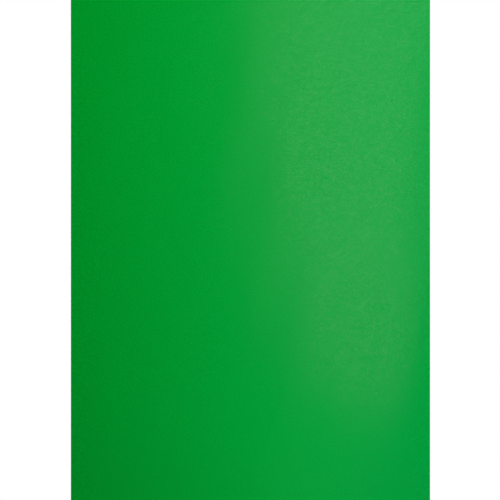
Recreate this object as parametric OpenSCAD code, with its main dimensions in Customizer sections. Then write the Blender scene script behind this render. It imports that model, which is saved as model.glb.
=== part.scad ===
// Seamless backdrop paper on its cardboard core, hung on a telescopic crossbar and drawn down.
// Millimetres. X runs along the bar, Z is up, and the paper falls behind the roll, on the +Y side.
// The origin is where the bar's axis meets the axis of the left stand socket.

/* [Paper] */
// Width of the paper
paper_w = 1350; // [600:10:2720]
// Length of paper on a full roll
paper_len = 11000; // [6000:100:25000]
// Thickness of the paper
paper_t = 0.2; // [0.15:0.01:0.3]
// Length drawn off the roll, from the roll to the cut edge
drawn_len = 2200; // [1200:10:3000]
// Length at the cut edge that keeps the curl of the roll
curl_len = 150; // [60:5:300]
// Radius of that curl
curl_r = 450; // [250:10:1500]
// Share of the wound area that is paper, the rest being air
wound_packing = 0.94; // [0.85:0.01:1]
// Angle below the last contact with the roll at which the outer wrap ends, in the nip
nip_angle = 12; // [10:1:30]

/* [Core] */
// Bore of the cardboard core
core_bore = 54; // [50:0.5:76]
// Wall of the cardboard core
core_wall = 4.5; // [3:0.1:8]
// How far the core stands out of the paper at each end
core_overhang = 4; // [0:0.5:20]
// Width of each strip of tape that holds the paper's tail to the core
tape_w = 50; // [20:1:80]
// Strips of tape along the core
tape_count = 3; // [2:1:6]
// Angle of the core that a strip of tape covers
tape_angle = 40; // [20:1:90]
// Thickness of the tape
tape_t = 0.12; // [0.08:0.01:0.2]

/* [Crossbar] */
// Outside diameter of the outer tube
bar_od = 35; // [32:0.5:40]
// Wall of the outer tube
bar_wall = 1.5; // [1.2:0.1:2]
// Outside diameter of the sliding tube
inner_od = 30; // [26:0.5:30]
// Wall of the sliding tube
inner_wall = 1.5; // [1.2:0.1:2.5]
// Length of the sliding tube
inner_len = 900; // [400:10:1100]
// Length of the sliding tube that shows between the collar and the right fitting
inner_show = 60; // [40:1:200]
// Free bar between the core's end and the collar
side_gap = 30; // [10:1:100]

/* [Lock collar] */
// Length of the collar on the outer tube
collar_seat = 34; // [24:1:60]
// Length of the collar past the outer tube, round the sliding tube
collar_nose = 30; // [24:1:50]
// Wall of the collar
collar_wall = 4; // [3:0.1:5]
// Grip flutes round the collar
collar_flutes = 16; // [8:4:24]
// Radius of a grip flute
flute_r = 1.4; // [0.8:0.1:2]

/* [End fittings] */
// Bore of the stand socket
socket_d = 16.5; // [16.2:0.1:20]
// Depth of the stand socket
socket_depth = 38; // [30:1:50]
// Wall round the stand socket
socket_wall = 6.5; // [5:0.1:9]
// From the bar's axis down to the socket's mouth
socket_drop = 24; // [20:0.5:30]
// Thickness of the cap over the socket
socket_cap = 7; // [4:0.5:12]
// Thickness of the flange that meets the tube's end
flange_t = 4; // [3:0.1:8]
// How far the flange stands past the tube
flange_lip = 1; // [0.5:0.1:2]
// Length of the plug inside the tube
plug_len = 36; // [28:1:60]
// Wall of the hollow plug
plug_wall = 4; // [3:0.1:6]
// Free neck between the socket's head and the flange
neck_len = 4; // [2:0.5:20]
// Thickness of the ribs under the neck
rib_t = 4; // [2:0.1:8]

/* [Clamp screws] */
// Diameter of the threaded stud
stud_d = 8; // [6:0.5:10]
// Radius of the boss that carries the stud
boss_r = 8.5; // [7:0.1:9]
// How far the boss stands out of its fitting
boss_len = 8; // [5:0.5:15]
// Outside radius of the knob
knob_r = 17; // [14:0.5:24]
// Height of the knob
knob_h = 15; // [10:0.5:25]
// Height of the hub under the knob
hub_h = 7; // [4:0.5:12]
// Lobes round the knob
knob_lobes = 6; // [5:1:9]
// Thickness of the pad under the collar's stud
pad_t = 2.5; // [1.5:0.1:4]
// Gap left between the knob's hub and its boss when tight
knob_gap = 1.5; // [0.5:0.1:3]

/* [Rivets] */
// Diameter of a rivet's shank
rivet_d = 3.2; // [2.4:0.1:4]
// Diameter of a rivet's head
rivet_head_d = 6.5; // [5:0.1:8]
// Height of a rivet's head
rivet_head_h = 1.3; // [0.8:0.1:2]

/* [Fits] */
// Clearance of a fixed fit, on the radius
fit_gap = 0.05; // [0.03:0.01:0.1]
// Clearance of a turning or sliding fit, on the radius
run_gap = 0.05; // [0.03:0.01:0.1]
// Clearance where the core hangs on the bar
hang_gap = 0.3; // [0.2:0.05:0.5]
// Clearance between the turning roll and its outer wrap
wrap_gap = 0.3; // [0.2:0.05:0.5]

/* [Hidden] */
$fn = 96;

// Small roundings, clearances and counts that no fit depends on
edge_round = 1.5;
mouth_chamfer = 1;
cap_recess = 0.8;
rim_clear = 0.5;
lobe_blend = 0.02;
glide_len = 22;
glide_lip = 3;
stud_clear = 0.4;
pad_clear = 0.1;
wrap_steps = 90;
curl_steps = 16;

// Radii
bar_r = bar_od / 2;
bar_bore_r = bar_r - bar_wall;
inner_r = inner_od / 2;
inner_bore_r = inner_r - inner_wall;
collar_r = bar_r + collar_wall;
socket_r = socket_d / 2;
head_r = socket_r + socket_wall;
stud_r = stud_d / 2;
core_r = core_bore / 2 + core_wall;

// The wound roll: what the drawn length and the outer wrap leave on the core has an area, and its radius
// follows. The wrap grows with that radius, so the radius is the root of a quadratic
tail_r = core_r + tape_t + 2 * fit_gap;
wrap_lift = wrap_gap + paper_t / 2;
wrap_turn = (360 - nip_angle) * PI / 180;
layer_area = paper_t / wound_packing / PI;
wrap_share = layer_area * wrap_turn / 2;
wound_len = paper_len - drawn_len - wrap_turn * wrap_lift;
wound_r = sqrt(pow(tail_r, 2) + pow(wrap_share, 2) + layer_area * wound_len) - wrap_share;
web_r = wound_r + wrap_lift;
flat_len = drawn_len - curl_len;

// Places along X
core_len = paper_w + 2 * core_overhang;
fitting_neck = head_r + neck_len + flange_t;
bar_reach = side_gap + collar_seat + collar_nose + inner_show + fitting_neck;
socket_span = core_len + 2 * bar_reach;
roll_x = socket_span / 2;
paper_x0 = roll_x - paper_w / 2;
outer_x0 = fitting_neck;
outer_x1 = roll_x + core_len / 2 + side_gap + collar_seat;
collar_x0 = outer_x1 - collar_seat;
collar_x1 = outer_x1 + collar_nose;
lock_x = outer_x1 + collar_nose / 2;
inner_x1 = socket_span - fitting_neck;
inner_x0 = inner_x1 - inner_len;

// Places along Y and Z: the core hangs on the bar, so its axis is below the bar's
roll_z = bar_r + hang_gap - core_bore / 2;
end_boss_y = head_r + boss_len;
lock_boss_y = collar_r + boss_len;
curl_z = roll_z - flat_len;

// A solid cylinder along X, from x0 to x1
module bar_x(r, x0, x1) {
    translate([x0, 0, 0]) rotate([0, 90, 0]) cylinder(r = r, h = x1 - x0);
}

// A tube along X
module tube_x(r_out, r_in, x0, x1) {
    difference() {
        bar_x(r_out, x0, x1);
        bar_x(r_in, x0 - 1, x1 + 1);
    }
}

// A solid cylinder along -Y, from y0 to y1 in front of the bar's axis
module pin_y(r, y0, y1) {
    translate([0, -y0, 0]) rotate([90, 0, 0]) cylinder(r = r, h = y1 - y0);
}

// A drum about Z with rounded rims
module round_drum(r, h, rim) {
    rotate_extrude() {
        square([r - rim, h]);
        translate([0, rim]) square([r, h - 2 * rim]);
        for (z = [rim, h - rim]) translate([r - rim, z]) circle(rim);
    }
}

// A point on a circle
function on_circle(centre, r, a) = centre + r * [cos(a), sin(a)];

// The least gap of the winding to itself is in the nip, between the wrap's end and the drawn sheet
wrap_points = [for (i = [0 : wrap_steps]) on_circle([0, roll_z], web_r, i * (360 - nip_angle) / wrap_steps)];
nip_gap = min([for (p = wrap_points) if (p[1] < roll_z && p[0] > 0) web_r - paper_t - p[0]]);
echo(nip_gap = nip_gap);

// Rivets through the top and the bottom of a tube, with heads on a surface of radius r
module rivet_pair(x, r, shank_len) {
    for (side = [0, 180])
        translate([x, 0, 0]) rotate([side, 0, 0]) translate([0, 0, r]) {
            translate([0, 0, -shank_len]) cylinder(d = rivet_d, h = shank_len);
            rotate_extrude() intersection() {
                ball_r = (pow(rivet_head_d / 2, 2) + pow(rivet_head_h, 2)) / (2 * rivet_head_h);
                translate([0, rivet_head_h - ball_r]) circle(ball_r);
                square([rivet_head_d, rivet_head_h]);
            }
        }
}

// The holes that a pair of rivets takes
module rivet_holes(x, r) {
    for (side = [0, 180])
        translate([x, 0, 0]) rotate([side, 0, 0]) cylinder(d = rivet_d + 2 * fit_gap, h = r);
}

// A moulded end fitting at the left: a plug for the tube, a flange, and an upright stand socket
module end_fitting(tube_r, tube_bore_r) {
    plug_r = tube_bore_r - fit_gap;
    flange_r = tube_r + flange_lip;
    difference() {
        union() {
            translate([0, 0, -socket_drop]) round_drum(head_r, socket_depth + socket_cap, edge_round);
            bar_x(head_r - edge_round, 0, fitting_neck - flange_t);
            translate([fitting_neck - flange_t, 0, 0]) rotate([0, 90, 0])
                round_drum(flange_r, flange_t, flange_lip);
            bar_x(plug_r, fitting_neck, fitting_neck + plug_len);
            pin_y(boss_r, 0, end_boss_y);
            rotate([90, 0, 0]) linear_extrude(rib_t, center = true)
                polygon([
                    [0, -socket_drop + 2 * edge_round],
                    [head_r, -socket_drop + 2 * edge_round],
                    [fitting_neck - flange_t, -flange_r],
                    [fitting_neck - flange_t, 0],
                    [0, 0]
                ]);
        }
        translate([0, 0, -socket_drop - 1]) cylinder(r = socket_r, h = socket_depth + 1);
        translate([0, 0, -socket_drop])
            cylinder(r1 = socket_r + mouth_chamfer, r2 = socket_r, h = mouth_chamfer);
        bar_x(plug_r - plug_wall, fitting_neck, fitting_neck + plug_len + 1);
        pin_y(stud_r + run_gap, 0, end_boss_y + 1);
        rivet_holes(fitting_neck + plug_len / 2, tube_r);
    }
}

// A stud that points back at the bar, from its tip out into the knob, with its thread left smooth
module clamp_stud(tip_y, boss_y) {
    knob_seat = boss_y + knob_gap + hub_h + knob_h / 2;
    chamfer = stud_r / 5;
    translate([0, -tip_y, 0]) rotate([90, 0, 0]) {
        cylinder(r1 = stud_r - chamfer, r2 = stud_r, h = chamfer);
        translate([0, 0, chamfer]) cylinder(r = stud_r, h = knob_seat - tip_y - chamfer);
    }
}

// The centres of the knob's lobes and of the hollows between them, which have one radius and touch
lobe_r = PI * knob_r / knob_lobes / 2;
lobe_at = knob_r - lobe_r;
lobe_half = 180 / knob_lobes;
hollow_at = lobe_at * cos(lobe_half) + sqrt(pow(2 * lobe_r, 2) - pow(lobe_at * sin(lobe_half), 2));
lobes = [for (i = [0 : knob_lobes - 1]) on_circle([0, 0], lobe_at, 2 * i * lobe_half)];
hollows = [for (i = [0 : knob_lobes - 1]) on_circle([0, 0], hollow_at, (2 * i + 1) * lobe_half)];

// The knob's outline: the hollows cut just into the lobes, so that each runs smoothly into the next
module knob_outline() {
    difference() {
        union() {
            polygon([for (i = [0 : knob_lobes - 1]) each [lobes[i], hollows[i]]]);
            for (centre = lobes) translate(centre) circle(lobe_r);
        }
        for (centre = hollows) translate(centre) circle(lobe_r + lobe_blend);
    }
}

// A lobed knob with a hub, moulded round the stud's end
module clamp_knob(boss_y) {
    translate([0, -boss_y - knob_gap, 0]) rotate([90, 0, 0]) difference() {
        union() {
            cylinder(r = boss_r, h = hub_h + edge_round);
            translate([0, 0, hub_h]) intersection() {
                round_drum(knob_r + rim_clear, knob_h, 2 * edge_round);
                translate([0, 0, -1]) linear_extrude(knob_h + 2) knob_outline();
            }
        }
        translate([0, 0, hub_h + knob_h - cap_recess]) cylinder(r = boss_r + edge_round, h = cap_recess + 1);
        translate([0, 0, -1]) cylinder(r = stud_r + fit_gap, h = 1 + hub_h + knob_h / 2 + fit_gap);
    }
}

module outer_tube() {
    color("#b9bcc0") difference() {
        tube_x(bar_r, bar_bore_r, outer_x0, outer_x1);
        rivet_holes(fitting_neck + plug_len / 2, bar_r + 1);
        rivet_holes(collar_x0 + collar_seat / 2, bar_r + 1);
    }
}

module left_end_fitting() {
    color("#1d1e20") end_fitting(bar_r, bar_bore_r);
}

module left_rivets() {
    color("#c9cacc") rivet_pair(fitting_neck + plug_len / 2, bar_r, bar_wall + plug_wall);
}

// The collar grips the outer tube's end, guides the sliding tube and carries the lock screw
module lock_collar() {
    nose_r = inner_r + collar_wall;
    color("#1d1e20") difference() {
        union() {
            translate([collar_x0, 0, 0]) rotate([0, 90, 0])
                round_drum(collar_r, collar_seat + collar_nose / 3, edge_round);
            translate([outer_x1, 0, 0]) rotate([0, 90, 0]) round_drum(nose_r, collar_nose, edge_round);
            translate([lock_x, 0, 0]) pin_y(boss_r, 0, lock_boss_y);
        }
        bar_x(bar_r + fit_gap, collar_x0 - 1, outer_x1);
        bar_x(inner_r + run_gap, outer_x1 - 1, collar_x1 + 1);
        translate([lock_x, 0, 0]) pin_y(stud_r + run_gap, 0, lock_boss_y + 1);
        rivet_holes(collar_x0 + collar_seat / 2, collar_r + 1);
        for (i = [0 : collar_flutes - 1])
            if (i % (collar_flutes / 4) != 0)
                rotate([i * 360 / collar_flutes, 0, 0]) translate([0, collar_r + flute_r / 2, 0])
                    bar_x(flute_r, collar_x0 + 3 * edge_round, outer_x1 - edge_round);
    }
}

module collar_rivets() {
    color("#c9cacc")
        rivet_pair(collar_x0 + collar_seat / 2, collar_r, collar_wall + bar_wall - 2 * pad_clear);
}

module lock_pad() {
    color("#c39a4a") translate([lock_x, 0, 0])
        pin_y(stud_r, inner_r + pad_clear, inner_r + pad_clear + pad_t);
}

// The outer wrap, from where the paper leaves the roll, over the top and round into the nip
module outer_wrap() {
    color("#0c9a45") translate([paper_x0, 0, roll_z]) rotate([90, 0, 90])
        rotate_extrude(angle = 360 - nip_angle)
            translate([web_r - paper_t / 2, 0]) square([paper_t, paper_w]);
}

module drawn_sheet() {
    color("#0c9a45") translate([paper_x0, web_r - paper_t / 2, curl_z]) cube([paper_w, paper_t, flat_len]);
}

// The curl at the cut edge, forwards and down from the flat sheet. It bends so little for its thickness
// that short flat steps hold it truer than one round face
module leading_edge() {
    step = curl_len / curl_r / curl_steps * 180 / PI;
    centre = [-curl_r, 0];
    back = [for (i = [0 : curl_steps]) on_circle(centre, curl_r + paper_t / 2, -i * step)];
    front = [for (i = [curl_steps : -1 : 0]) on_circle(centre, curl_r - paper_t / 2, -i * step)];
    color("#0c9a45") translate([paper_x0, web_r, curl_z]) rotate([90, 0, 90])
        linear_extrude(paper_w) polygon(concat(back, front));
}

module core_tube() {
    color("#b08a5e") translate([0, 0, roll_z])
        tube_x(core_r, core_bore / 2, roll_x - core_len / 2, roll_x + core_len / 2);
}

// Strips of tape that start the paper on the core
module tail_tape() {
    pitch = paper_w / tape_count;
    color("#e4d3a2") translate([paper_x0, 0, roll_z])
        for (i = [0 : tape_count - 1])
            translate([(i + 0.5) * pitch - tape_w / 2, 0, 0]) rotate([0, 90, 0])
                rotate_extrude(angle = tape_angle) translate([core_r + fit_gap, 0]) square([tape_t, tape_w]);
}

module wound_paper() {
    color("#0c9a45") translate([0, 0, roll_z])
        tube_x(wound_r, tail_r, paper_x0, paper_x0 + paper_w);
}

module inner_tube() {
    color("#c4c7cb") difference() {
        tube_x(inner_r, inner_bore_r, inner_x0, inner_x1);
        rivet_holes(inner_x1 - plug_len / 2, inner_r + 1);
    }
}

// A lipped bush on the hidden end of the sliding tube, which runs in the outer tube
module inner_glide() {
    color("#e9e7e0") difference() {
        bar_x(bar_bore_r - run_gap, inner_x0 - glide_lip, inner_x0 + glide_len);
        bar_x(inner_r + fit_gap, inner_x0, inner_x0 + glide_len + 1);
        bar_x(inner_bore_r, inner_x0 - glide_lip - 1, inner_x0 + 1);
    }
}

module right_end_fitting() {
    color("#1d1e20") translate([socket_span, 0, 0]) mirror([1, 0, 0]) end_fitting(inner_r, inner_bore_r);
}

module right_rivets() {
    color("#c9cacc") rivet_pair(inner_x1 - plug_len / 2, inner_r, inner_wall + plug_wall);
}

module lock_stud() {
    color("#a9adb2") translate([lock_x, 0, 0])
        clamp_stud(inner_r + 2 * pad_clear + pad_t, lock_boss_y);
}

module lock_knob() {
    color("#1d1e20") translate([lock_x, 0, 0]) clamp_knob(lock_boss_y);
}

module left_stud() {
    color("#a9adb2") clamp_stud(socket_r + stud_clear, end_boss_y);
}

module left_knob() {
    color("#1d1e20") clamp_knob(end_boss_y);
}

module right_stud() {
    color("#a9adb2") translate([socket_span, 0, 0]) clamp_stud(socket_r + stud_clear, end_boss_y);
}

module right_knob() {
    color("#1d1e20") translate([socket_span, 0, 0]) clamp_knob(end_boss_y);
}

outer_tube();
left_end_fitting();
left_rivets();
lock_collar();
collar_rivets();
lock_pad();
outer_wrap();
drawn_sheet();
leading_edge();
core_tube();
tail_tape();
wound_paper();
inner_tube();
inner_glide();
right_end_fitting();
right_rivets();
lock_stud();
lock_knob();
left_stud();
left_knob();
right_stud();
right_knob();
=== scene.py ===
"""The looks of a green seamless backdrop paper roll, hung on a telescopic crossbar and drawn down."""

import math
import random

import bpy
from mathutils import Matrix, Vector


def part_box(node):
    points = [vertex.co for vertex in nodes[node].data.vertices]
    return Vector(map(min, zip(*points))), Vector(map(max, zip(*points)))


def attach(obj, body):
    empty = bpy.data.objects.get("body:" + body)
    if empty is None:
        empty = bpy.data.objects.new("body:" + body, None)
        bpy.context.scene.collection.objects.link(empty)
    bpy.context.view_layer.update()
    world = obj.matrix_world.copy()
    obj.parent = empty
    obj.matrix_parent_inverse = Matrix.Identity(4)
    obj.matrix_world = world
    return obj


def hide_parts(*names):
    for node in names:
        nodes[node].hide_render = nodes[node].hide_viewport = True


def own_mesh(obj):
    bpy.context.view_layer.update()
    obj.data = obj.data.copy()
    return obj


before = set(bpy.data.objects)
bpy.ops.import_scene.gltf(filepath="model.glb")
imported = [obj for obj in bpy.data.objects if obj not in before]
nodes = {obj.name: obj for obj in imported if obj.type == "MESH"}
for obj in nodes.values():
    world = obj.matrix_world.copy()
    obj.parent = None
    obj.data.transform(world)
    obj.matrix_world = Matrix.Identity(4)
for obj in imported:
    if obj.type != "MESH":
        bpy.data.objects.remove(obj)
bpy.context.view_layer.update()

# The photograph's frame, in pixels: the sheet's side edges, and how far away the camera stands
PHOTO_SIDE_PX = 500
SHEET_LEFT_PX = 70.8
SHEET_RIGHT_PX = 430.1
CAMERA_DISTANCE = 6.0
SENSOR_MM = 36.0
# The roll is out of the picture: its underside is this far above the frame's top edge, at the sheet
ROLL_ABOVE_FRAME = 0.065
# The floor: how far it lies below the paper's cut edge, its radius, the radii between which it fades to
# white, and how white it is before that
FLOOR_DROP = 0.08
FLOOR_RADIUS = 6.0
FADE_START = 0.5
FADE_END = 1.75
FLOOR_WHITENESS = 0.35
# The oval light: its place right of the camera, in front of the sheet and above the camera, its size,
# its power, and how far its face leans sideways and turns
OVAL_RIGHT = 0.58
OVAL_FORWARD = 2.58
OVAL_UP = 1.17
OVAL_WIDTH = 1.05
OVAL_HEIGHT = 4.15
OVAL_POWER = 105.0
OVAL_LEAN = -0.017
OVAL_YAW = -0.17
# A low light in front of the sheet and right of the camera, which stands for the light that a pale studio
# floor gives back. Its narrow spread keeps it off the floor
LOW_RIGHT = 0.28
LOW_FORWARD = 1.41
LOW_RISE = 0.2
LOW_TILT = math.radians(101)
LOW_SPREAD = math.radians(80)
LOW_WIDTH = 0.52
LOW_HEIGHT = 0.3
LOW_POWER = 0.77
# A light behind the sheet, for the other views: left of the camera, and above it
BACK_LEFT = 0.6
BACK_BEHIND = 2.6
BACK_UP = 0.6
BACK_WIDTH = 1.6
BACK_HEIGHT = 2.0
BACK_POWER = 60.0
# What the white surroundings give as light, as a share of how white they look
AMBIENT_SHARE = 0.056
# Where the room in front of the sheet is darkest, and where it has turned white, as the share of a
# direction that points to the back
ROOM_DARKEST = -0.95
ROOM_WHITE = -0.5

# The paper: the length on a full roll, its thickness, what lies between the core and the paper's tail, and
# the curl at the cut edge, whose radius varies in waves, each given by its share and its length
PAPER_LENGTH = 11.0
PAPER_THICKNESS = 0.0002
TAIL_BUILD = 0.00022
CURL_RADIUS = 0.45
CURL_WAVES = ((0.12, 0.9), (0.08, 0.37))
# The outermost turn: how far it goes round, and how far it draws in over one turn, in thicknesses
WRAP_ANGLE = math.radians(366)
WRAP_DRAW_IN = 1.15
# The wound layers: how far a turn wanders sideways, the seed of that wander, and the steps in which a turn
# is drawn
SIDE_WANDER = 0.00035
WANDER_SEED = 11
STEPS_A_TURN = 64
# The grid's columns across the hanging sheet and its cut edge, which have to meet, and the angle between
# faces up to which they are shaded as one
SHEET_COLUMNS = 108
SMOOTH_ANGLE = math.radians(40)

# Places taken from the frame, in metres
sheet_low, sheet_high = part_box("drawn_sheet")
wrap_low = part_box("outer_wrap")[0]
edge_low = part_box("leading_edge")[0]
core_low, core_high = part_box("core_tube")
wound_low, wound_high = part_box("wound_paper")
paper_width = sheet_high.x - sheet_low.x
paper_middle = (sheet_high.x + sheet_low.x) / 2
web_y = (sheet_high.y + sheet_low.y) / 2
roll_z = sheet_high.z
curl_z = sheet_low.z
flat_length = roll_z - curl_z
core_radius = (core_high.z - core_low.z) / 2
wound_radius = (wound_high.z - wound_low.z) / 2
wrap_radius = web_y
curl_length = CURL_RADIUS * math.asin((curl_z - edge_low.z) / CURL_RADIUS)
floor_z = edge_low.z - FLOOR_DROP


def linear(code):
    """An sRGB hex colour as linear RGBA."""
    parts = [int(code[i : i + 2], 16) / 255 for i in (1, 3, 5)]
    curve = [c / 12.92 if c <= 0.04045 else ((c + 0.055) / 1.055) ** 2.4 for c in parts]
    return (*curve, 1.0)


def per_mm(size_mm):
    """A texture scale, in cycles a metre, for a pattern of this size."""
    return 1000.0 / size_mm


def add_node(tree, kind, settings=None, links=None):
    """Adds a shader node: settings hold its options and input values, links the sockets that feed it."""
    made = tree.nodes.new(kind)
    for name, value in (settings or {}).items():
        if isinstance(name, int) or name in made.inputs:
            made.inputs[name].default_value = value
        else:
            setattr(made, name, value)
    for name, socket in (links or {}).items():
        tree.links.new(socket, made.inputs[name])
    return made


def new_material(name, settings):
    """A principled material with its constant inputs set, its node tree, shader and Object coordinates."""
    made = bpy.data.materials.new(name)
    made.use_nodes = True
    tree = made.node_tree
    shader = tree.nodes["Principled BSDF"]
    for socket, value in settings.items():
        shader.inputs[socket].default_value = value
    place = add_node(tree, "ShaderNodeTexCoord").outputs["Object"]
    return made, tree, shader, place


def dress(piece, material):
    """Gives a piece its one material."""
    piece.data.materials.clear()
    piece.data.materials.append(material)


# Seamless paper, dyed in the pulp and lightly calendered: a deep green, a shade yellower towards the left
# of the web, with more and less dye from one fibre floc to the next, and a faint sheen where a lamp
# mirrors in it. The uneven calendering breaks that up: where it pressed harder, the paper is smoother and
# mirrors more. All of this is drawn coarser than the real flocs, which are 1 to 3 mm across, so that
# it shows
def seamless_paper():
    made, tree, shader, place = new_material(
        "seamless_paper_dyed_green", {"Specular IOR Level": 0.0495}
    )
    floc_mm = 5
    calendered_mm = 9
    across = add_node(tree, "ShaderNodeSeparateXYZ", {}, {0: place})
    web_share = add_node(
        tree,
        "ShaderNodeMapRange",
        {"From Min": sheet_low.x, "From Max": sheet_high.x},
        {"Value": across.outputs["X"]},
    )
    dye = add_node(
        tree,
        "ShaderNodeMix",
        {"data_type": "RGBA", 6: linear("#00972a"), 7: linear("#009238")},
        {0: web_share.outputs["Result"]},
    )
    flocs = add_node(
        tree,
        "ShaderNodeTexNoise",
        {"Scale": per_mm(floc_mm), "Detail": 2.0, "Roughness": 0.6},
        {"Vector": place},
    )
    density = add_node(
        tree,
        "ShaderNodeMapRange",
        {"To Min": 0.77, "To Max": 1.23},
        {"Value": flocs.outputs["Fac"]},
    )
    tone = add_node(
        tree,
        "ShaderNodeGamma",
        {},
        {"Color": dye.outputs[2], "Gamma": density.outputs["Result"]},
    )
    calendering = add_node(
        tree,
        "ShaderNodeTexNoise",
        {"Scale": per_mm(calendered_mm), "Detail": 2.0, "Roughness": 0.6},
        {"Vector": place},
    )
    sheen = add_node(
        tree,
        "ShaderNodeMapRange",
        {"From Min": 0.3, "From Max": 0.7, "To Min": 0.285, "To Max": 0.105},
        {"Value": calendering.outputs["Fac"]},
    )
    gloss = add_node(
        tree,
        "ShaderNodeMapRange",
        {"From Min": 0.35, "From Max": 0.65, "To Min": 0.54, "To Max": 1.0},
        {"Value": calendering.outputs["Fac"]},
    )
    tooth = add_node(
        tree,
        "ShaderNodeBump",
        {"Strength": 0.8, "Distance": 0.0003},
        {"Height": flocs.outputs["Fac"]},
    )
    tree.links.new(tone.outputs["Color"], shader.inputs["Base Color"])
    tree.links.new(sheen.outputs["Result"], shader.inputs["Roughness"])
    tree.links.new(gloss.outputs["Result"], shader.inputs["Specular Tint"])
    tree.links.new(tooth.outputs["Normal"], shader.inputs["Normal"])
    return made


# Spiral wound kraft board: brown plies with long fibres, a helical butt seam on the tube's faces and
# the glue lines between the plies at its cut ends, drawn as every fourth ply so that they show
def kraft_board():
    made, tree, shader, place = new_material("spiral_wound_kraft_board", {"Specular IOR Level": 0.2})
    ply_lines_mm = 1.1
    seam_lead_mm = 160
    seam_width = 0.012
    fibre_mm = 2.5
    fibre_stretch = 4
    centred = add_node(tree, "ShaderNodeMapping", {"Location": (0.0, 0.0, -roll_z)}, {"Vector": place})
    parts = add_node(tree, "ShaderNodeSeparateXYZ", {}, {0: centred.outputs["Vector"]})
    across = add_node(
        tree, "ShaderNodeCombineXYZ", {}, {"Y": parts.outputs["Y"], "Z": parts.outputs["Z"]}
    )
    radius = add_node(
        tree, "ShaderNodeVectorMath", {"operation": "LENGTH"}, {0: across.outputs["Vector"]}
    )
    rings = add_node(
        tree,
        "ShaderNodeMath",
        {"operation": "PINGPONG", 1: 0.5 * ply_lines_mm / 1000},
        {0: radius.outputs["Value"]},
    )
    glue = add_node(
        tree,
        "ShaderNodeMapRange",
        {"From Min": 0.0, "From Max": 0.25 * ply_lines_mm / 1000, "To Min": 1.0, "To Max": 0.0},
        {"Value": rings.outputs["Value"]},
    )
    facing = add_node(
        tree,
        "ShaderNodeSeparateXYZ",
        {},
        {0: add_node(tree, "ShaderNodeTexCoord").outputs["Normal"]},
    )
    at_end = add_node(
        tree, "ShaderNodeMath", {"operation": "ABSOLUTE"}, {0: facing.outputs["X"]}
    )
    turn = add_node(
        tree, "ShaderNodeMath", {"operation": "ARCTAN2"}, {0: parts.outputs["Y"], 1: parts.outputs["Z"]}
    )
    turns = add_node(
        tree,
        "ShaderNodeMath",
        {"operation": "MULTIPLY", 1: 1 / (2 * math.pi)},
        {0: turn.outputs["Value"]},
    )
    helix = add_node(
        tree,
        "ShaderNodeMath",
        {"operation": "MULTIPLY_ADD", 1: per_mm(seam_lead_mm)},
        {0: parts.outputs["X"], 2: turns.outputs["Value"]},
    )
    sawtooth = add_node(tree, "ShaderNodeMath", {"operation": "FRACT"}, {0: helix.outputs["Value"]})
    seam = add_node(
        tree,
        "ShaderNodeMath",
        {"operation": "LESS_THAN", 1: seam_width},
        {0: sawtooth.outputs["Value"]},
    )
    line = add_node(
        tree,
        "ShaderNodeMix",
        {"data_type": "FLOAT"},
        {0: at_end.outputs["Value"], 2: seam.outputs["Value"], 3: glue.outputs["Result"]},
    )
    drawn_out = add_node(
        tree, "ShaderNodeMapping", {"Scale": (1 / fibre_stretch, 1.0, 1.0)}, {"Vector": place}
    )
    fibres = add_node(
        tree,
        "ShaderNodeTexNoise",
        {"Scale": per_mm(fibre_mm), "Detail": 5.0, "Roughness": 0.65},
        {"Vector": drawn_out.outputs["Vector"]},
    )
    kraft = add_node(
        tree,
        "ShaderNodeMix",
        {"data_type": "RGBA", 6: linear("#94704a"), 7: linear("#c79e6c")},
        {0: fibres.outputs["Fac"]},
    )
    lined = add_node(
        tree,
        "ShaderNodeMix",
        {"data_type": "RGBA", 7: linear("#6d4f31")},
        {0: line.outputs[0], 6: kraft.outputs[2]},
    )
    dull = add_node(
        tree,
        "ShaderNodeMapRange",
        {"To Min": 0.75, "To Max": 0.95},
        {"Value": fibres.outputs["Fac"]},
    )
    relief = add_node(
        tree,
        "ShaderNodeBump",
        {"Strength": 0.3, "Distance": 0.0001},
        {"Height": fibres.outputs["Fac"]},
    )
    tree.links.new(lined.outputs[2], shader.inputs["Base Color"])
    tree.links.new(dull.outputs["Result"], shader.inputs["Roughness"])
    tree.links.new(relief.outputs["Normal"], shader.inputs["Normal"])
    return made


# A metal finish: smooth and rough patches with a slight change of tone, which the stretch draws out into
# streaks along the bar
def drawn_metal(name, dark, light, smooth, rough, grain_mm, stretch):
    made, tree, shader, place = new_material(name, {"Metallic": 1.0})
    along = add_node(tree, "ShaderNodeMapping", {"Scale": (1 / stretch, 1.0, 1.0)}, {"Vector": place})
    streaks = add_node(
        tree,
        "ShaderNodeTexNoise",
        {"Scale": per_mm(grain_mm), "Detail": 4.0, "Roughness": 0.6},
        {"Vector": along.outputs["Vector"]},
    )
    tone = add_node(
        tree,
        "ShaderNodeMix",
        {"data_type": "RGBA", 6: linear(dark), 7: linear(light)},
        {0: streaks.outputs["Fac"]},
    )
    sheen = add_node(
        tree,
        "ShaderNodeMapRange",
        {"From Min": 0.25, "From Max": 0.75, "To Min": smooth, "To Max": rough},
        {"Value": streaks.outputs["Fac"]},
    )
    tree.links.new(tone.outputs[2], shader.inputs["Base Color"])
    tree.links.new(sheen.outputs["Result"], shader.inputs["Roughness"])
    return made


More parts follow.
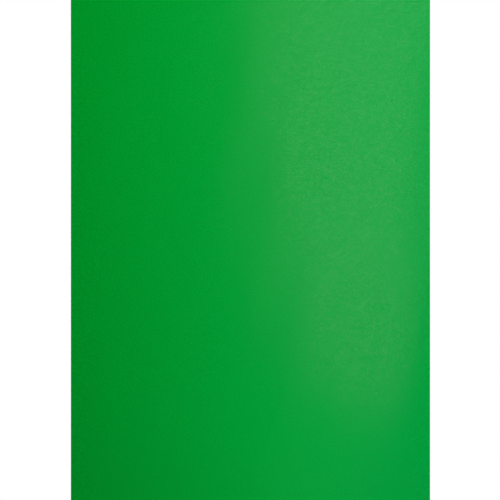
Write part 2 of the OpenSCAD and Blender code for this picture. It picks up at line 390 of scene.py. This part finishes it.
# Moulded nylon: the pebble of a spark eroded tool in relief, and dull and brighter patches
def moulded_nylon(name, dark, light, pebble_mm):
    made, tree, shader, place = new_material(name, {"IOR": 1.53})
    patch_mm = 14
    pebble = add_node(
        tree,
        "ShaderNodeTexNoise",
        {"Scale": per_mm(pebble_mm), "Detail": 2.0, "Roughness": 0.5},
        {"Vector": place},
    )
    patches = add_node(
        tree,
        "ShaderNodeTexNoise",
        {"Scale": per_mm(patch_mm), "Detail": 2.0, "Roughness": 0.5},
        {"Vector": place},
    )
    tone = add_node(
        tree,
        "ShaderNodeMix",
        {"data_type": "RGBA", 6: linear(dark), 7: linear(light)},
        {0: patches.outputs["Fac"]},
    )
    dull = add_node(
        tree,
        "ShaderNodeMapRange",
        {"From Min": 0.25, "From Max": 0.75, "To Min": 0.4, "To Max": 0.58},
        {"Value": patches.outputs["Fac"]},
    )
    relief = add_node(
        tree,
        "ShaderNodeBump",
        {"Strength": 0.35, "Distance": 0.0001},
        {"Height": pebble.outputs["Fac"]},
    )
    tree.links.new(tone.outputs[2], shader.inputs["Base Color"])
    tree.links.new(dull.outputs["Result"], shader.inputs["Roughness"])
    tree.links.new(relief.outputs["Normal"], shader.inputs["Normal"])
    return made


# Creped paper tape: pale tan, with a fine, uneven crinkle
def creped_tape():
    made, tree, shader, place = new_material("creped_paper_tape", {"Roughness": 0.7})
    crinkle_mm = 0.8
    crepe = add_node(
        tree,
        "ShaderNodeTexNoise",
        {"Scale": per_mm(crinkle_mm), "Detail": 3.0, "Roughness": 0.6},
        {"Vector": place},
    )
    tone = add_node(
        tree,
        "ShaderNodeMix",
        {"data_type": "RGBA", 6: linear("#d2bd86"), 7: linear("#e6d6aa")},
        {0: crepe.outputs["Fac"]},
    )
    relief = add_node(
        tree,
        "ShaderNodeBump",
        {"Strength": 0.4, "Distance": 0.0001},
        {"Height": crepe.outputs["Fac"]},
    )
    tree.links.new(tone.outputs[2], shader.inputs["Base Color"])
    tree.links.new(relief.outputs["Normal"], shader.inputs["Normal"])
    return made


paper = seamless_paper()
board = kraft_board()
tape = creped_tape()
# Extruded tube, satin anodised: long streaks along the bar
aluminium = drawn_metal(
    "satin_anodised_aluminium", "#94979b", "#a6a9ac", smooth=0.44, rough=0.54, grain_mm=0.7, stretch=90
)
# Zinc plated and clear passivated steel: bright, with a faint blue and straw mottle
zinc = drawn_metal(
    "zinc_plated_steel", "#aab2ba", "#c9c6b8", smooth=0.22, rough=0.36, grain_mm=2.0, stretch=1
)
# Turned brass: warm yellow, with a fine mottle
brass = drawn_metal(
    "turned_brass", "#b08a3c", "#cfae62", smooth=0.28, rough=0.4, grain_mm=0.6, stretch=1
)
# Blind rivets of annealed aluminium: dull from the setting tool
rivet_metal = drawn_metal(
    "annealed_aluminium_rivet", "#b6b8ba", "#d4d5d6", smooth=0.34, rough=0.52, grain_mm=0.7, stretch=1
)
# Glass filled nylon, moulded in a spark eroded tool: black, matt and finely pebbled
black_nylon = moulded_nylon("glass_filled_nylon_black", "#18191a", "#222325", pebble_mm=0.9)
# Unfilled nylon in its own milky colour
white_nylon = moulded_nylon("natural_nylon", "#dcd9cc", "#ece9de", pebble_mm=1.2)

FINISHES = (
    (board, ("core_tube",)),
    (tape, ("tail_tape",)),
    (aluminium, ("outer_tube", "inner_tube")),
    (zinc, ("lock_stud", "left_stud", "right_stud")),
    (brass, ("lock_pad",)),
    (rivet_metal, ("left_rivets", "collar_rivets", "right_rivets")),
    (black_nylon, ("left_end_fitting", "right_end_fitting", "lock_collar")),
    (black_nylon, ("lock_knob", "left_knob", "right_knob")),
    (white_nylon, ("inner_glide",)),
    (paper, ("outer_wrap", "drawn_sheet", "leading_edge", "wound_paper")),
)
for finish, names in FINISHES:
    for name in names:
        dress(nodes[name], finish)

# The hanging sheet isn't quite flat: cockles, each given by its length across, its length down and a phase,
# how deep they are, how far below the roll they are full, and side edges that stand back a little, by how
# much and over what width
COCKLES = ((0.52, 1.9, 0.0), (0.33, -1.3, 2.1), (0.23, 0.9, 4.4))
COCKLE_DEPTH = 0.0002
COCKLE_START = 0.5
EDGE_DEPTH = 0.0025
EDGE_REACH = 0.15


def cockle(x, drop):
    """How far the sheet stands back from flat, this far below the roll, where it is held straight."""
    share = min(drop / COCKLE_START, 1.0)
    held = share * share * (3 - 2 * share)
    waves = [math.sin(2 * math.pi * (x / across + drop / down) + phase) for across, down, phase in COCKLES]
    from_edge = min(x - sheet_low.x, sheet_high.x - x)
    edge = max(1 - from_edge / EDGE_REACH, 0.0)
    return held * (COCKLE_DEPTH * sum(waves) + EDGE_DEPTH * edge * edge)


def hang_path(x, share):
    """The flat drop, from the roll down."""
    drop = share * flat_length
    return x, web_y + cockle(x, drop), roll_z - drop


def curl_path(x, share):
    """The stretch at the cut edge, which still curls forwards as it was rolled, a little unevenly."""
    length = share * curl_length
    waves = [depth * math.sin(2 * math.pi * x / wave) for depth, wave in CURL_WAVES]
    radius = CURL_RADIUS * (1 + sum(waves))
    turned = length / radius
    lift = cockle(x, flat_length + length)
    back = lift * math.cos(turned) - radius * (1 - math.cos(turned))
    down = lift * math.sin(turned) + radius * math.sin(turned)
    return x, web_y + back, curl_z - down


def wrap_path(x, share):
    """The outermost turn, from where the sheet leaves it, over the top and round, until it is tucked in."""
    turned = share * WRAP_ANGLE
    radius = wrap_radius - WRAP_DRAW_IN * PAPER_THICKNESS * turned / (2 * math.pi)
    return x, radius * math.cos(turned), roll_z + radius * math.sin(turned)


# The wound layers hold what the other stretches leave of the paper, so their length gives the turns. Each
# turn wandered a little sideways as it was wound
wrap_length = wrap_radius * WRAP_ANGLE
wound_length = PAPER_LENGTH - flat_length - curl_length - wrap_length
wind_start = core_radius + TAIL_BUILD + PAPER_THICKNESS / 2
wind_end = wound_radius - PAPER_THICKNESS / 2
wind_turns = wound_length / (math.pi * (wind_start + wind_end))
layer_pitch = (wind_end - wind_start) / wind_turns
wander = random.Random(WANDER_SEED)
side_steps = [wander.uniform(-SIDE_WANDER, SIDE_WANDER) for _ in range(math.ceil(wind_turns) + 2)]


def wind_path(x, share):
    """The paper that is still on the roll, as one spiral from the core outwards."""
    turns = share * wind_turns
    turn = int(turns)
    side = side_steps[turn] + (side_steps[turn + 1] - side_steps[turn]) * (turns - turn)
    radius = wind_start + turns * layer_pitch
    turned = turns * 2 * math.pi
    return x + side, radius * math.cos(turned), roll_z + radius * math.sin(turned)


def lay_strip(name, path, columns, rows):
    """A strip of paper as wide as the roll: a flat grid, laid along a path and given its thickness."""
    bpy.ops.object.select_all(action="DESELECT")
    bpy.ops.mesh.primitive_grid_add(x_subdivisions=columns, y_subdivisions=rows, size=1.0)
    strip = bpy.context.object
    strip.name = name
    for vertex in strip.data.vertices:
        x = paper_middle + vertex.co.x * paper_width
        vertex.co = path(x, 0.5 - vertex.co.y)
    thickness = strip.modifiers.new("thickness", "SOLIDIFY")
    thickness.thickness = PAPER_THICKNESS
    thickness.offset = 0.0
    bpy.ops.object.modifier_apply(modifier=thickness.name)
    bpy.ops.object.shade_smooth_by_angle(angle=SMOOTH_ANGLE)
    dress(strip, paper)
    return strip


def lay_paper():
    """The one length of paper, in the four stretches that move differently."""
    sheet = lay_strip("hanging_sheet", hang_path, columns=SHEET_COLUMNS, rows=82)
    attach(sheet, "crossbar")
    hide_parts("drawn_sheet")
    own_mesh(sheet)

    cut_edge = lay_strip("cut_edge", curl_path, columns=SHEET_COLUMNS, rows=12)
    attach(cut_edge, "paper_end")
    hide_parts("leading_edge")

    wrap = lay_strip("outer_turn", wrap_path, columns=6, rows=122)
    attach(wrap, "crossbar")
    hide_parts("outer_wrap")

    wound = lay_strip("wound_layers", wind_path, columns=1, rows=round(wind_turns * STEPS_A_TURN))
    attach(wound, "roll")
    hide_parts("wound_paper")


# The floor is pale near the object, and fades to the white of the background
def lay_floor():
    bpy.ops.object.select_all(action="DESELECT")
    bpy.ops.mesh.primitive_circle_add(
        vertices=96, radius=FLOOR_RADIUS, fill_type="NGON", location=(paper_middle, 0.0, floor_z)
    )
    floor = bpy.context.object
    floor.name = "studio_floor"
    bpy.ops.object.transform_apply(location=True, rotation=True, scale=True)
    made, tree, shader, place = new_material(
        "pale_floor", {"Base Color": linear("#e9e9e7"), "Roughness": 0.9, "Specular IOR Level": 0.1}
    )
    centred = add_node(
        tree, "ShaderNodeMapping", {"Location": (-paper_middle, 0.0, -floor_z)}, {"Vector": place}
    )
    reach = add_node(
        tree, "ShaderNodeVectorMath", {"operation": "LENGTH"}, {0: centred.outputs["Vector"]}
    )
    fade = add_node(
        tree,
        "ShaderNodeMapRange",
        {
            "interpolation_type": "SMOOTHSTEP",
            "From Min": FADE_START,
            "From Max": FADE_END,
            "To Min": FLOOR_WHITENESS,
        },
        {"Value": reach.outputs["Value"]},
    )
    seen = add_node(tree, "ShaderNodeLightPath")
    white = add_node(
        tree,
        "ShaderNodeMath",
        {"operation": "MULTIPLY"},
        {0: fade.outputs["Result"], 1: seen.outputs["Is Camera Ray"]},
    )
    glow = add_node(tree, "ShaderNodeEmission", {"Strength": 1.0})
    mix = add_node(
        tree,
        "ShaderNodeMixShader",
        {},
        {0: white.outputs["Value"], 1: shader.outputs["BSDF"], 2: glow.outputs["Emission"]},
    )
    tree.links.new(mix.outputs["Shader"], tree.nodes["Material Output"].inputs["Surface"])
    dress(floor, made)


# The camera looks square on at the sheet, which fills the frame from top to bottom
def set_camera():
    metres_per_px = paper_width / (SHEET_RIGHT_PX - SHEET_LEFT_PX)
    frame_side = PHOTO_SIDE_PX * metres_per_px
    sheet_centre_px = (SHEET_LEFT_PX + SHEET_RIGHT_PX) / 2
    camera_x = paper_middle - (sheet_centre_px - PHOTO_SIDE_PX / 2) * metres_per_px
    camera_z = wrap_low.z - ROLL_ABOVE_FRAME - frame_side / 2
    lens = bpy.data.cameras.new("photo_camera")
    lens.sensor_width = SENSOR_MM
    lens.lens = SENSOR_MM * CAMERA_DISTANCE / frame_side
    camera = bpy.data.objects.new("photo_camera", lens)
    camera.location = (camera_x, sheet_low.y - CAMERA_DISTANCE, camera_z)
    camera.rotation_euler = (math.pi / 2, 0.0, 0.0)
    bpy.context.scene.collection.objects.link(camera)
    bpy.context.scene.camera = camera
    return camera.location


def add_lamp(name, shape, place, turn, width, height, power, mirrored=True, spread=math.pi):
    """A soft light, whose spread is the angle it fans out to; unmirrored, it gives no highlight."""
    lamp = bpy.data.lights.new(name, "AREA")
    lamp.shape = shape
    lamp.size = width
    lamp.size_y = height
    lamp.energy = power
    lamp.spread = spread
    stand = bpy.data.objects.new(name, lamp)
    stand.location = place
    stand.rotation_euler = turn
    stand.visible_camera = False
    stand.visible_glossy = mirrored
    bpy.context.scene.collection.objects.link(stand)


# A tall oval light in front of the sheet's right half, a low light in front, one behind for the other
# views, and white surroundings, which are dark in front only in what surfaces mirror
def set_lights(eye):
    oval_place = (eye.x + OVAL_RIGHT, web_y - OVAL_FORWARD, eye.z + OVAL_UP)
    oval_turn = (math.pi / 2, OVAL_LEAN, OVAL_YAW)
    add_lamp("oval_light", "ELLIPSE", oval_place, oval_turn, OVAL_WIDTH, OVAL_HEIGHT, OVAL_POWER)
    low_place = (eye.x + LOW_RIGHT, web_y - LOW_FORWARD, floor_z + LOW_RISE)
    low_turn = (LOW_TILT, 0.0, 0.0)
    add_lamp(
        "low_light",
        "RECTANGLE",
        low_place,
        low_turn,
        LOW_WIDTH,
        LOW_HEIGHT,
        LOW_POWER,
        mirrored=False,
        spread=LOW_SPREAD,
    )
    back_place = (eye.x - BACK_LEFT, web_y + BACK_BEHIND, eye.z + BACK_UP)
    back_turn = (-math.pi / 2, 0.0, 0.0)
    add_lamp("back_light", "RECTANGLE", back_place, back_turn, BACK_WIDTH, BACK_HEIGHT, BACK_POWER)
    world = bpy.data.worlds.new("white_studio")
    world.use_nodes = True
    bpy.context.scene.world = world
    tree = world.node_tree
    seen = add_node(tree, "ShaderNodeLightPath")
    way = add_node(
        tree,
        "ShaderNodeSeparateXYZ",
        {},
        {0: add_node(tree, "ShaderNodeTexCoord").outputs["Generated"]},
    )
    room = add_node(
        tree,
        "ShaderNodeMapRange",
        {"interpolation_type": "SMOOTHSTEP", "From Min": ROOM_DARKEST, "From Max": ROOM_WHITE},
        {"Value": way.outputs["Y"]},
    )
    mirrored = add_node(
        tree,
        "ShaderNodeMath",
        {"operation": "MULTIPLY"},
        {0: room.outputs["Result"], 1: seen.outputs["Is Glossy Ray"]},
    )
    shown = add_node(
        tree,
        "ShaderNodeMath",
        {"operation": "MAXIMUM"},
        {0: seen.outputs["Is Camera Ray"], 1: mirrored.outputs["Value"]},
    )
    level = add_node(
        tree, "ShaderNodeMapRange", {"To Min": AMBIENT_SHARE}, {"Value": shown.outputs["Value"]}
    )
    background = tree.nodes["Background"]
    background.inputs["Color"].default_value = (1.0, 1.0, 1.0, 1.0)
    tree.links.new(level.outputs["Result"], background.inputs["Strength"])


lay_paper()
lay_floor()
set_lights(set_camera())
bpy.context.scene.view_settings.view_transform = "Standard"
